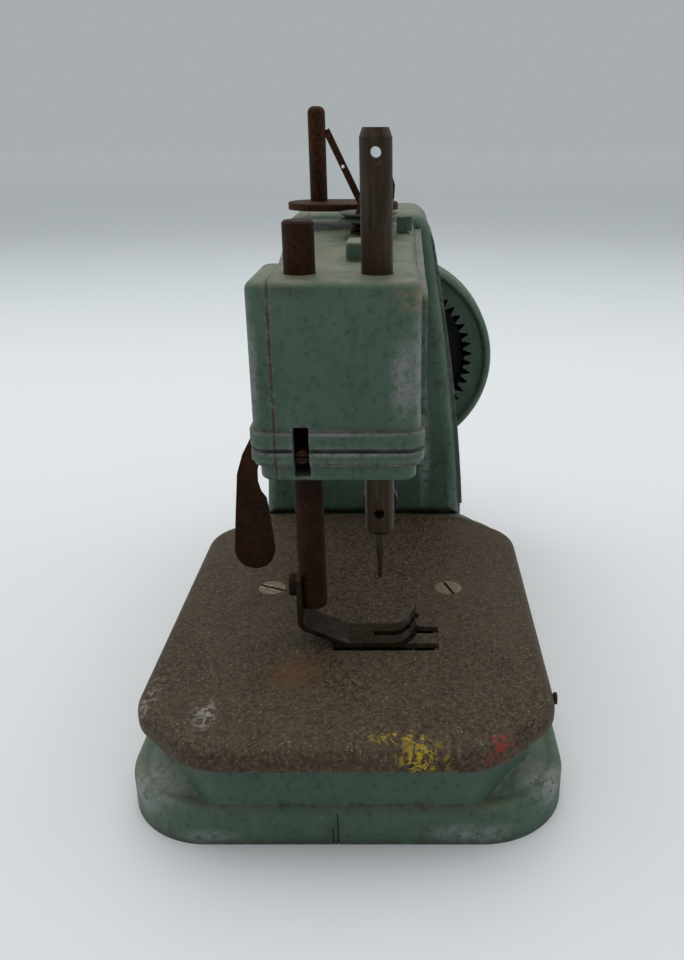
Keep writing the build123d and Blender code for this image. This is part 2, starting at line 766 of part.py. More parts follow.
upper_direction = degrees(atan2(-idler_drop, idler_y - drive_y))
upper_idler_phase = meshing_phase(0, upper_direction, shaft_gear_teeth, idler_teeth)
lower_idler_phase = meshing_phase(upper_idler_phase, -90, idler_teeth, idler_teeth)
lower_direction = degrees(atan2(-idler_drop, drive_y - idler_y))
looper_gear_phase = meshing_phase(lower_idler_phase, lower_direction, idler_teeth, shaft_gear_teeth)


def idler(z, phase):
    """A lightened idler gear with a hub."""
    x = train_near_x
    bore = idler_pin_radius + running_gap
    gear = spur_gear(idler_teeth, train_module, phase, x, x + train_width, idler_y, z, bore)
    for turn in range(0, 360, 72):
        place = Pos(0, idler_y, z) * Rot(turn, 0, 0) * Pos(x + train_width / 2, 0, 8.4)
        gear -= place * Rot(0, 90, 0) * Cylinder(2.6, train_width + 2)
    return gear


def idler_pins():
    """Two headed pins, pressed in the column's end wall, for the idlers."""
    made = []
    for z in (upper_idler_z, lower_idler_z):
        head = rod_x(3.6, train_near_x - 1.6, train_near_x - 0.2, idler_y, z)
        made.append(head + rod_x(idler_pin_radius, train_near_x - 0.2, column_far_x - 2, idler_y, z))
    return Compound(children=made)


def looper_gear():
    x = train_near_x
    return spur_gear(
        shaft_gear_teeth, train_module, looper_gear_phase, x, x + train_width, drive_y, looper_shaft_z,
        shaft_radius,
    )


# ---------------------------------------------------------------- needle lever
def at_rest(shape):
    """Turns the needle lever from mid-stroke to its place with the needle at the top."""
    to_pivot = Pos(lever_pivot_x, 0, lever_pivot_z)
    return to_pivot * Rot(0, lever_half_angle, 0) * Pos(-lever_pivot_x, 0, -lever_pivot_z) * shape


def needle_lever():
    """The rocking lever inside the arm: a fork at the needle bar, a hub and a tail for the yoke."""
    tail_end = lever_tail - yoke_thickness / 2
    px, pz = lever_pivot_x, lever_pivot_z
    outline = [
        (needle_x - 4.2, pz - 3.0), (px - 8, pz - 4.4), (px, pz - 5.5), (px + 8, pz + 8 * tail_slope - 3.8),
        (px + tail_end, pz + tail_end * tail_slope - 3.2), (px + tail_end, pz + tail_end * tail_slope + 3.2),
        (px + 8, pz + 8 * tail_slope + 3.8), (px, pz + 5.5), (px - 8, pz + 4.4), (needle_x - 4.2, pz + 3.0),
    ]
    lever = slab_xz(make_face(Polyline(*outline, close=True)), lever_near_y, lever_far_y)
    lever += rod_y(6.2, lever_near_y, lever_far_y, px, pz)
    lever -= rod_y(2.5 + running_gap, -5, 5, px, pz)
    lever -= block(needle_x - 6, needle_x + 2.6, -5, 5, pz - 1.65, pz + 1.65)
    for x in yoke_rivet_x:
        lever -= rod_y(1.0, -5, 5, px + x, pz + x * tail_slope)
    return at_rest(lever)


def lever_yoke():
    """The slotted yoke that the crank pin works in, with the lug that is riveted to the lever's tail."""
    px, pz = lever_pivot_x + lever_tail, lever_pivot_z - lever_tail_drop
    x0, x1 = px - yoke_thickness / 2, px + yoke_thickness / 2
    slot_end = crank_throw + crank_pin_radius + 0.3
    yoke = block(x0, x1, drive_y - slot_end - 2.2, 3.4, pz - 5.4, pz + 5.4)
    yoke = fillet(yoke.edges().filter_by(Axis.X), 2.0)
    yoke -= block(
        x0 - 1, x1 + 1, drive_y - slot_end, drive_y + slot_end, pz - yoke_half_slot, pz + yoke_half_slot
    )
    lug_outline = [
        (x0 - 14, pz - 14 * tail_slope - 3), (x0 + 0.1, pz - 3), (x0 + 0.1, pz + 3),
        (x0 - 14, pz - 14 * tail_slope + 3),
    ]
    yoke += slab_xz(make_face(Polyline(*lug_outline, close=True)), lever_far_y, 3.4)
    for x in yoke_rivet_x:
        yoke -= rod_y(1.0, -5, 5, lever_pivot_x + x, lever_pivot_z + x * tail_slope)
    return at_rest(yoke)


def yoke_rivets():
    """The two rivets that hold the yoke on the lever's tail."""
    made = []
    for x in yoke_rivet_x:
        px, pz = lever_pivot_x + x, lever_pivot_z + x * tail_slope
        rivet = rod_y(1.0, lever_near_y, 3.4, px, pz) + rod_y(1.7, 3.4, 4.3, px, pz)
        made.append(at_rest(rivet + rod_y(1.7, lever_near_y - 0.7, lever_near_y, px, pz)))
    return Compound(children=made)


def lever_pivot_pin():
    px, pz = lever_pivot_x, lever_pivot_z
    return rod_y(2.5, -12, lever_far_y + 0.3, px, pz) + rod_y(4.2, lever_far_y + 0.3, 3.6, px, pz)


# ---------------------------------------------------------------- needle bar
def needle_bar():
    """The needle bar: pointed top with a thread hole, and the needle's socket at the bottom."""
    bar = rod_z(bar_radius, needle_bar_bottom, needle_bar_top, needle_x, needle_y)
    bar = chamfer(bar.edges().group_by(Axis.Z)[-1], 1.9, 0.7)
    bar = chamfer(bar.edges().group_by(Axis.Z)[0], 0.9)
    bar -= rod_x(1.15, needle_x - 5, needle_x + 5, needle_y, 144.2)
    bar -= rod_x(1.2, needle_x - 5, needle_x - 1.0, needle_y, clamp_z)
    bar -= rod_z(1.05, needle_bar_bottom - 1, 70, needle_x, needle_y)
    return bar - rod_x(1.25, needle_x, needle_x + 5, needle_y, clamp_z)


def needle_bar_collar():
    """The clamped collar on the needle bar, with the pin the lever's fork drives."""
    collar = rod_z(5.2, drive_pin_z - 2.5, drive_pin_z + 2.5, needle_x, needle_y)
    collar += rod_y(1.5, needle_y + 4, 1.9, needle_x, drive_pin_z)
    return collar - rod_z(bar_radius, drive_pin_z - 3, drive_pin_z + 3, needle_x, needle_y)


def needle_clamp_screw():
    """The knurled thumb screw that holds the needle."""
    x = needle_x + bar_radius
    screw = rod_x(1.25, needle_x + 1.05, x, needle_y, clamp_z)
    screw += turned([(x, 0), (x, 2.6), (x + 1, 2.6), (x + 1, 4.2), (x + 4, 4.2), (x + 4.6, 3.6), (x + 4.6, 0)],
                    needle_y, clamp_z)
    for turn in range(0, 360, 20):
        ridge = Pos(0, needle_y, clamp_z) * Rot(turn, 0, 0) * Pos(x + 3, 0, 4.35)
        screw -= ridge * Rot(45, 0, 0) * Box(5, 0.5, 0.5)
    return screw


def needle():
    """The needle: a plain shank, a taper and a thin blade with an eye near its blunt tip."""
    profile = [
        (0, needle_tip), (0.45, needle_tip), (0.58, needle_tip + 0.9), (0.75, needle_tip + 5.5),
        (1.05, needle_tip + 8.7), (1.05, 69.5), (0, 69.5),
    ]
    shape = revolve(Plane.XZ * make_face(Polyline(*profile, close=True)), Axis.Z)
    eye = rod_x(0.2, needle_x - 2, needle_x + 2, needle_y, needle_tip + 2.4)
    return Pos(needle_x, needle_y, 0) * shape - eye


# ---------------------------------------------------------------- presser bar, foot and lifter
def presser_bar():
    """The presser bar, with a flat at the bottom for the foot."""
    bar = rod_z(bar_radius, presser_bar_bottom, presser_bar_top, needle_x, presser_y)
    bar = chamfer(bar.edges().group_by(Axis.Z)[-1], 0.5)
    flat_y = presser_y + foot_flat
    bar -= block(needle_x - 5, needle_x + 5, flat_y, flat_y + 3, presser_bar_bottom - 1, foot_top)
    bar -= rod_y(1.5, presser_y - 1.5, presser_y + 5, needle_x, foot_screw_z)
    return bar - rod_x(1.0, needle_x - 5, needle_x - 1.5, presser_y, guide_screw_z)


def strip_outline(points, thickness):
    """The outline of a bent strip from its middle line."""
    half = thickness / 2
    left, right = [], []
    for i, (a, b) in enumerate(points):
        before = points[max(i - 1, 0)]
        after = points[min(i + 1, len(points) - 1)]
        along = [(a - before[0], b - before[1]), (after[0] - a, after[1] - b)]
        units = [(u / hypot(u, v), v / hypot(u, v)) for u, v in along if hypot(u, v) > 0]
        mean = (sum(u for u, v in units) / len(units), sum(v for u, v in units) / len(units))
        size = mean[0] ** 2 + mean[1] ** 2
        normal = (-mean[1] / size, mean[0] / size)
        left.append((a + half * normal[0], b + half * normal[1]))
        right.append((a - half * normal[0], b - half * normal[1]))
    return make_face(Polyline(*(left + right[::-1]), close=True))


def presser_foot():
    """The bent strip foot: shank, slanting neck, flat sole and a turned-up forked toe."""
    shank_y = presser_y + foot_flat + foot_sheet / 2
    sole_z = bed_top + foot_gap + foot_sheet / 2
    line = [
        (shank_y, foot_top), (shank_y, 35.2), (shank_y - 0.8, 33.6),
        (3.0, 29.6), (0.8, sole_z), (-10.6, sole_z),
        (-13.2, sole_z + 0.7), (-15.2, sole_z + 2.5), (-16.7, sole_z + 5.6),
    ]
    foot = slab_yz(strip_outline(line, foot_sheet), needle_x - 4.75, needle_x + 4.75)
    foot -= block(needle_x - 1.1, needle_x + 1.1, -30, -5.6, 20, 60)
    return foot - rod_y(1.5, 0, 30, needle_x, foot_screw_z)


def foot_screw():
    seat = presser_y + foot_flat + foot_sheet
    head = rod_y(2.8, seat, seat + 2.2, needle_x, foot_screw_z)
    head = fillet(head.edges().group_by(Axis.Y)[-1], 0.6)
    slot = block(-4, 4, seat + 1.2, seat + 4, -0.45, 0.45)
    head -= Pos(needle_x, 0, foot_screw_z) * slot
    return head + rod_y(1.5, presser_y - 1, seat, needle_x, foot_screw_z)


def presser_guide_screw():
    """The screw in the presser bar whose head runs in the slot of the head's end wall."""
    x = head_near_x + 0.9
    head = rod_x(1.6, x, x + 1.8, presser_y, guide_screw_z)
    head -= block(x - 1, x + 0.7, presser_y - 3, presser_y + 3, guide_screw_z - 0.25, guide_screw_z + 0.25)
    return head + rod_x(1.0, x + 1.8, needle_x - 1.6, presser_y, guide_screw_z)


def lift_collar():
    """The collar on the presser bar, with the pin the lifter's cam raises."""
    bottom = lifter_z + cam_low + lift_pin_radius + lift_slack - 2.0
    collar = rod_z(4.7, bottom, bottom + 5, needle_x, presser_y)
    collar += block(needle_x, lifter_x - 1.2, presser_y, lifter_y + 2.0, bottom, bottom + 5)
    collar += rod_x(lift_pin_radius, lifter_x - 2, lifter_x + 1.0, lifter_y, bottom + 2.0)
    return collar - rod_z(bar_radius, bottom - 1, bottom + 6, needle_x, presser_y)


def presser_spring():
    """The coil spring that presses the foot down."""
    low = lifter_z + cam_low + lift_pin_radius + lift_slack + 3.0 + 0.55
    high = head_top - head_roof - 0.55
    path = Helix(pitch=(high - low) / 6.5, height=high - low, radius=4.15)
    coil = sweep(Plane(path @ 0, z_dir=path % 0) * Circle(0.45), path=path)
    return Pos(needle_x, presser_y, low) * coil


def lifter_lever():
    """The flat lifter: a hub with a rising cam, a neck out of the head and a hanging round-ended handle."""
    y, z = lifter_y, lifter_z
    steps = 16
    cam = [(y, z)]
    for i in range(steps + 1):
        angle = radians(10 + lifter_swing * i / steps)
        reach = cam_low + presser_lift * (1 - i / steps)
        cam.append((y + reach * cos(angle), z + reach * sin(angle)))
    handle = [
        (y - 1, z - 3.4), (18.9, z - 5.2), (21.2, 75.5), (22.4, 71.5), (22.5, 68.4),
        (21.8, 65.8), (20.6, 64.1), (19.9, 59.0),
        (handle_y - handle_radius, handle_z), (handle_y + handle_radius, handle_z), (28.4, 59.0),
        (27.8, 65.0), (27.2, 71.0), (25.6, 76.0), (22.4, 82.0),
        (y + (cam_low + presser_lift) * cos(radians(10)), z + 1.35), (y, z),
    ]
    plate = slab_yz(make_face(Polyline(*cam, close=True)), lifter_x - 0.9, lifter_x + 0.9)
    plate += slab_yz(make_face(Polyline(*handle, close=True)), lifter_x - 0.9, lifter_x + 0.9)
    plate += rod_x(cam_low, lifter_x - 0.9, lifter_x + 0.9, y, z)
    plate += rod_x(handle_radius, lifter_x - 0.9, lifter_x + 0.9, handle_y, handle_z)
    return plate - rod_x(1.9 + running_gap, lifter_x - 2, lifter_x + 2, y, z)


def lifter_pivot_screw():
    x = lifter_x - 1.0
    head = rod_x(2.6, x - 0.9, x, lifter_y, lifter_z)
    head -= block(x - 2, x - 0.5, lifter_y - 4, lifter_y + 4, lifter_z - 0.35, lifter_z + 0.35)
    screw = head + rod_x(1.9, x, lifter_x + 1.1, lifter_y, lifter_z)
    return screw + rod_x(1.5, lifter_x + 1.1, lifter_x + 7.5, lifter_y, lifter_z)


# ---------------------------------------------------------------- looper and feed
def looper_shaft():
    return rod_x(shaft_radius, near_x + 48, train_near_x + train_width + 1, drive_y, looper_shaft_z)


def looper():
    """The rotary looper: a hub and a curved, pointed hook that sweeps just behind the needle."""
    x = near_x + 45.9
    hook = Circle(8.9) - Circle(6.4) - Rectangle(20, 20, align=(Align.CENTER, Align.MAX))
    hook -= Pos(-9, 2.6) * Rot(0, 0, 35) * Rectangle(8, 8)
    hook += Pos(5.6, -0.2) * Rot(0, 0, 8) * Rectangle(6.4, 3.4)
    blade = extrude(facing_x(x, drive_y, looper_shaft_z) * hook, amount=1.6)
    hub = rod_x(4.6, x, near_x + 53, drive_y, looper_shaft_z)
    return blade + hub - rod_x(shaft_radius, near_x + 48, near_x + 54, drive_y, looper_shaft_z)


def feed_cam():
    """The eccentric on the looper shaft that stands between the carrier's fork arms."""
    cam = rod_x(feed_cam_radius, near_x + 54.2, near_x + 57.8, drive_y, looper_shaft_z + feed_cam_offset)
    return cam - rod_x(shaft_radius, near_x + 53, near_x + 59, drive_y, looper_shaft_z)


def feed_rod():
    return rod_y(feed_rod_radius, -24.5, 22.5, feed_rod_x, feed_rod_z)


def feed_carrier():
    """The carrier that slides on the feed rod. Its fork stands clear round the cam's whole sweep."""
    reach = feed_cam_radius + feed_cam_offset + feed_travel + 0.15
    carrier = block(near_x + 53.6, feed_rod_x, drive_y - reach - 2, 1.0, 20.6, 22.4)
    carrier += rod_y(3.3, -15.4, 0.6, feed_rod_x, feed_rod_z)
    for side in (-1, 1):
        y = drive_y + side * (reach + 1)
        carrier += block(near_x + 54.2, near_x + 57.8, y - 1, y + 1, 11.0, 20.6)
    carrier -= rod_y(feed_rod_radius + running_gap, -20, 10, feed_rod_x, feed_rod_z)
    for y in feed_pin_y:
        carrier -= rod_z(feed_pin_radius, 20, 23, feed_pin_x, y)
    return carrier


def feed_guide_pins():
    return Compound(children=[rod_z(feed_pin_radius, 20.6, 25.0, feed_pin_x, y) for y in feed_pin_y])


def feed_dog():
    """The feed dog: a plate with two rows of saw teeth that come up through the bed's slots."""
    dog = block(near_x + 37.8, near_x + 58.8, -16.0, 0.4, 23.0, 24.6)
    for x in (feed_slot_near_x, feed_slot_far_x):
        teeth = [(-16.0, 24.5), (-16.0, 26.0)]
        for i in range(11):
            teeth += [(-15.6 + 1.3 * i, 26.9), (-14.6 + 1.3 * i, 26.0)]
        teeth += [(teeth[-1][0], 24.5)]
        dog += slab_yz(make_face(Polyline(*teeth, close=True)), x - 1.3, x + 1.3)
    dog -= block(needle_x - 1.3, needle_x + 1.3, -12.5, -2.5, 20, 30)
    for y in feed_pin_y:
        dog -= rod_z(feed_pin_radius + slide_gap, 20, 30, feed_pin_x, y)
    return dog


# ---------------------------------------------------------------- thread tension and spool
def arm_top_at(x):
    """The height of the arm's top."""
    slope = (column_top - head_top) / (column_near_x - head_near_x - head_length)
    return head_top - 0.4 + slope * (x - head_near_x - head_length)


def tension_stud():
    stud = rod_z(1.5, tension_seat - 4, tension_seat + 9.3, tension_x, tension_y)
    return stud + rod_z(4.9, tension_seat, tension_seat + 0.8, tension_x, tension_y)


def tension_spring():
    low = tension_seat + 0.8 + 0.45
    high = tension_seat + 3.9 - 0.45
    path = Helix(pitch=1.1, height=high - low, radius=4.0)
    coil = sweep(Plane(path @ 0, z_dir=path % 0) * Circle(0.42), path=path)
    return Pos(tension_x, tension_y, low) * coil


def tension_discs():
    """Two dished discs, face to face, that the thread runs between."""
    made = []
    for z0, side in ((tension_seat + 4.4, -1), (tension_seat + 4.5, 1)):
        profile = [
            (1.6, z0), (6.2, z0), (7.75, z0 + 0.7 * side), (7.75, z0 + 1.1 * side), (6.0, z0 + 0.45 * side),
            (1.6, z0 + 0.45 * side),
        ]
        disc = revolve(Plane.XZ * make_face(Polyline(*profile, close=True)), Axis.Z)
        made.append(Pos(tension_x, tension_y, 0) * disc)
    return Compound(children=made)


def tension_nut():
    z = tension_seat + 6.7
    nut = rod_z(2.7, z, z + 2.2, tension_x, tension_y)
    nut -= rod_z(1.5 + running_gap, z - 1, z + 4, tension_x, tension_y)
    for turn in range(0, 360, 30):
        nut -= Pos(tension_x, tension_y, z + 1.2) * Rot(0, 0, turn) * Pos(2.8, 0, 0) * Cylinder(0.35, 3)
    return nut


def thread_strip():
    """The slanting flat strip with a thread hole half-way; its ring foot is held on the tension stud."""
    z = tension_seat + 5.0
    line = [(-3.6, z + 0.95), (-2.2, z + 1.5), (7.2, 148.3)]
    x = tension_x + 3.2
    strip = slab_yz(strip_outline(line, 1.8), x, x + 0.8)
    foot = rod_z(3.4, z, z + 0.8, tension_x, tension_y) + block(tension_x, x + 0.8, -4.6, -2.0, z, z + 0.8)
    foot -= rod_z(1.5, z - 1, z + 2, tension_x, tension_y)
    return foot + strip - rod_x(0.45, x - 3, x + 3, 3.0, 139.2)


def bow_spring():
    """The bowed check spring, a thin strip bulging to the front, with its ring foot on the tension stud."""
    z = tension_seat + 5.8
    line = [(-8.2, 140.0), (-9.6, 137.6), (-10.5, 134.6), (-10.3, 131.6), (-9.0, z + 0.45), (-5.6, z + 0.4)]
    spring = slab_yz(strip_outline(line, 0.8), tension_x - 1.6, tension_x + 1.6)
    foot = rod_z(3.0, z, z + 0.8, tension_x, tension_y)
    return foot + spring - rod_z(1.5, z - 1, z + 2, tension_x, tension_y)


def thread_guide_tab():
    """The folded sheet tab that leads the thread towards the head."""
    x = tension_x + 5.0
    z = arm_top_at(x)
    tab = block(x, x + 0.8, -15.4, -11.3, z - 0.2, z + 3.7)
    tab += block(x, x + 5.0, -15.4, -11.3, z + 0.1, z + 0.9)
    return tab


def spool_bracket():
    """The flat round-ended plate that carries the spool pin."""
    plate = SlotOverall(spool_plate_length, spool_plate_width, rotation=90)
    plate = Pos(spool_plate_x, spool_plate_y, spool_plate_z) * extrude(plate, amount=spool_plate_sheet)
    plate = fillet(plate.edges().group_by(Axis.Z)[-1], 0.5)
    plate -= rod_z(1.6, 120, 135, spool_pin_x, spool_pin_y)
    return plate - rod_z(1.5, 120, 135, spool_screw_x, spool_screw_y)


def spool_spacer():
    spacer = rod_z(4.0, spool_plate_z - 1.2, spool_plate_z, spool_screw_x, spool_screw_y)
    return spacer - rod_z(1.5, spool_plate_z - 2, spool_plate_z + 1, spool_screw_x, spool_screw_y)


def spool_screw():
    z = spool_plate_z + spool_plate_sheet
    head = rod_z(3.0, z, z + 1.4, spool_screw_x, spool_screw_y)
    head = fillet(head.edges().group_by(Axis.Z)[-1], 0.6)
    slot = block(-5, 5, -0.4, 0.4, z + 0.7, z + 3)
    head -= Pos(spool_screw_x, spool_screw_y, 0) * slot
    return head + rod_z(1.5, z - 8, z, spool_screw_x, spool_screw_y)


def spool_pin():
    """The spool pin: a domed rod riveted in its bracket."""
    seat = spool_plate_z + spool_plate_sheet
    pin = rod_z(spool_pin_radius, seat, spool_pin_top, spool_pin_x, spool_pin_y)
    pin = fillet(pin.edges().group_by(Axis.Z)[-1], 1.8)
    tail = rod_z(1.6, spool_plate_z, seat, spool_pin_x, spool_pin_y)
    return pin + tail + rod_z(2.4, spool_plate_z - 0.8, spool_plate_z, spool_pin_x, spool_pin_y)


# ---------------------------------------------------------------- write every piece
NODES = {
    "base_casting": base_casting,
    "bed_plate": bed_plate,
    "bed_screws": bed_screws,
    "bed_side_screw": bed_side_screw,
    "body_casting": body_casting,
    "rear_cover": rear_cover,
    "cover_screws": cover_screws,
    "body_bolts": body_bolts,
    "wheel_axle": wheel_axle,
    "axle_washers": axle_washers,
    "axle_screw": axle_screw,
    "shaft_bushes": shaft_bushes,
    "idler_pins": idler_pins,
    "lever_pivot_pin": lever_pivot_pin,
    "presser_spring": presser_spring,
    "lifter_pivot_screw": lifter_pivot_screw,
    "feed_rod": feed_rod,
    "spool_bracket": spool_bracket,
    "spool_spacer": spool_spacer,
    "spool_screw": spool_screw,
    "spool_pin": spool_pin,
    "tension_stud": tension_stud,
    "tension_spring": tension_spring,
    "tension_discs": tension_discs,
    "tension_nut": tension_nut,
    "thread_strip": thread_strip,
    "bow_spring": bow_spring,
    "thread_guide_tab": thread_guide_tab,
    "hand_wheel": hand_wheel,
    "crank_stud": crank_stud,
    "crank_knob": crank_knob,
    "upper_shaft": upper_shaft,
    "pinion": pinion,
    "shaft_gear": shaft_gear,
    "shaft_collar": shaft_collar,
    "crank_disc": crank_disc,
    "crank_pin": crank_pin,
    "upper_idler": lambda: idler(upper_idler_z, upper_idler_phase),
    "lower_idler": lambda: idler(lower_idler_z, lower_idler_phase),
    "looper_shaft": looper_shaft,
    "looper_gear": looper_gear,
    "looper": looper,
    "feed_cam": feed_cam,
    "feed_carrier": feed_carrier,
    "feed_guide_pins": feed_guide_pins,
    "feed_dog": feed_dog,
    "needle_lever": needle_lever,
    "lever_yoke": lever_yoke,
    "yoke_rivets": yoke_rivets,
    "needle_bar": needle_bar,
    "needle_bar_collar": needle_bar_collar,
    "needle_clamp_screw": needle_clamp_screw,
    "needle": needle,
    "presser_bar": presser_bar,
    "lift_collar": lift_collar,
    "presser_guide_screw": presser_guide_screw,
    "presser_foot": presser_foot,
    "foot_screw": foot_screw,
    "lifter_lever": lifter_lever,
}

for name, make in NODES.items():
    save(make(), name)
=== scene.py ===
"""Looks of the hand-cranked miniature sewing machine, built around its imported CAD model.

Everything is in metres in the CAD's own frame: +X runs from the needle head to the hand wheel, +Y to the back
and +Z up.
"""
import math

import bpy
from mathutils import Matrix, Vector


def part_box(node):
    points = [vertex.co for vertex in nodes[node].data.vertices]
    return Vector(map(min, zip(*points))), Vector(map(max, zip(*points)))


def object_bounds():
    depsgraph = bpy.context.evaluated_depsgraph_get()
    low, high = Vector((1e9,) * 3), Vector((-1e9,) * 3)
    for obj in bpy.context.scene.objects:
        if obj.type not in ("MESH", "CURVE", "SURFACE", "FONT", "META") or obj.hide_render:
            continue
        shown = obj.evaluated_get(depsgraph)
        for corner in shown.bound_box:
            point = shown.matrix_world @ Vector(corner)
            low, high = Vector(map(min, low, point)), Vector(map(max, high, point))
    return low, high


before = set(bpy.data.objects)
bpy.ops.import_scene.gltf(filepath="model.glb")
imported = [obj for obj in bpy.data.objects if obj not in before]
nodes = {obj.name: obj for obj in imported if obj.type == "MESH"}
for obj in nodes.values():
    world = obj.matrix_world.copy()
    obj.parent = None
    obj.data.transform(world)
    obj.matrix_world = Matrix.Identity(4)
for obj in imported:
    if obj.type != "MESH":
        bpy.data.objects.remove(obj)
cad_low, cad_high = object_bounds()
MM = 0.001

# ---------------------------------------------------------------- colours, linear
SEA_GREEN = (0.058, 0.108, 0.074)
DEEP_GREEN = (0.012, 0.030, 0.020)
PALE_GREEN = (0.100, 0.155, 0.108)
ZINC = (0.270, 0.270, 0.260)
DUST = (0.215, 0.190, 0.125)
RUST = (0.115, 0.036, 0.009)
DARK_RUST = (0.012, 0.0045, 0.0018)
BROWN_COAT = (0.090, 0.063, 0.038)
DARK_COAT = (0.026, 0.017, 0.010)
GRIT = (0.330, 0.290, 0.220)
OLD_STEEL = (0.060, 0.044, 0.027)
DARK_STEEL = (0.020, 0.012, 0.007)
BRASS = (0.260, 0.215, 0.130)
YELLOW_WAX = (0.480, 0.330, 0.020)
RED_WAX = (0.240, 0.035, 0.030)
# painted shade for the hollow behind the hand wheel's teeth
HOLLOW_SHADE = (0.006, 0.007, 0.006)
DULL_ZINC = (0.085, 0.085, 0.080)
PAINT_STAIN = (0.030, 0.030, 0.018)
# painted shade for the crevices and joints of the green paint
PAINTED_CREVICE_SHADE = (0.018, 0.010, 0.005)
PALE_GRAIN = (0.340, 0.310, 0.240)
# grey zinc worn through, also used for painted highlights on the band ridges
GREY_RUB_AND_RIDGE_HIGHLIGHT = (0.230, 0.235, 0.235)
RUBBED_PRIMER = (0.250, 0.180, 0.115)
RUST_STAIN = (0.050, 0.023, 0.009)
# painted highlight for the column's rounded edge
PAINTED_EDGE_HIGHLIGHT = (0.300, 0.320, 0.300)
KNOCKED_BARE = (0.260, 0.270, 0.255)
COAT_FADED = (0.110, 0.084, 0.056)
COAT_SPECK = (0.190, 0.160, 0.115)
COAT_RUST = (0.085, 0.040, 0.015)
COAT_EDGE = (0.200, 0.170, 0.140)
COAT_RUST_PATCH = (0.120, 0.052, 0.017)
COAT_SCRATCH = (0.340, 0.310, 0.270)
CORNER_SCRATCH = (0.340, 0.300, 0.250)
BROWN_RUST = (0.034, 0.013, 0.005)
BLACK_RUST = (0.007, 0.004, 0.003)
RUBBED_RUST = (0.130, 0.090, 0.060)
STEEL_RUST = (0.048, 0.021, 0.008)
STEEL_PITS = (0.010, 0.006, 0.004)
STEEL_BRIGHT = (0.200, 0.180, 0.150)
FOOT_STEEL = (0.050, 0.037, 0.023)
FOOT_STAIN = (0.016, 0.010, 0.006)
DISC_STEEL = (0.120, 0.140, 0.100)
DISC_STAIN = (0.045, 0.045, 0.030)
BRASS_TARNISH = (0.115, 0.080, 0.045)
BRASS_BLOOM = (0.340, 0.320, 0.260)
BRASS_DIRT = (0.030, 0.022, 0.015)
MACHINED = (0.230, 0.215, 0.190)
MACHINED_DARK = (0.110, 0.098, 0.080)
OIL_VARNISH = (0.070, 0.045, 0.022)
OIL_DIRT = (0.022, 0.016, 0.010)
LACQUER_DARK = (0.022, 0.011, 0.007)
LACQUER_LIGHT = (0.090, 0.040, 0.020)
LACQUER_WORN = (0.200, 0.120, 0.070)
FLOOR_NEAR = (0.80, 0.80, 0.81)
# painted shade: the floor beside and behind the object is coloured darker, like a dimmer backdrop
FLOOR_BESIDE = (0.76, 0.79, 0.80)
FLOOR_BEHIND = (0.66, 0.68, 0.69)
FLOOR_FAR = (0.74, 0.75, 0.76)
COOL_SKY = (0.93, 0.99, 1.02)
WARM_LIGHT = (1.0, 0.985, 0.96)
COOL_LIGHT = (0.96, 0.98, 1.0)

# how far in the middle of the hand wheel's hollow side is, and where the painted shade on it starts
HOLLOW = 5.9 * MM
HOLLOW_START = 2.3 * MM
HOLLOW_RADIUS = 31 * MM

# brightness of the studio: the wall behind the camera, the far wall and the ceiling
FRONT_LEVEL = 0.17
WALL_LEVEL = 0.42
SKY_LEVEL = 0.66
OVERHEAD_WATTS = 3.6
WINDOW_WATTS = 0.9

# the camera: its distance in front of the head, place, downward tilt and lens
EYE_FRONT = 0.1502
EYE_Y = -0.013
EYE_HEIGHT = 0.149
TILT_DOWN = 21.75
SENSOR_WIDTH = 36.0
FOCAL_LENGTH = 33.19
SIDE_SHIFT = -0.0635

# the floor's half width
FLOOR_REACH = 6.0


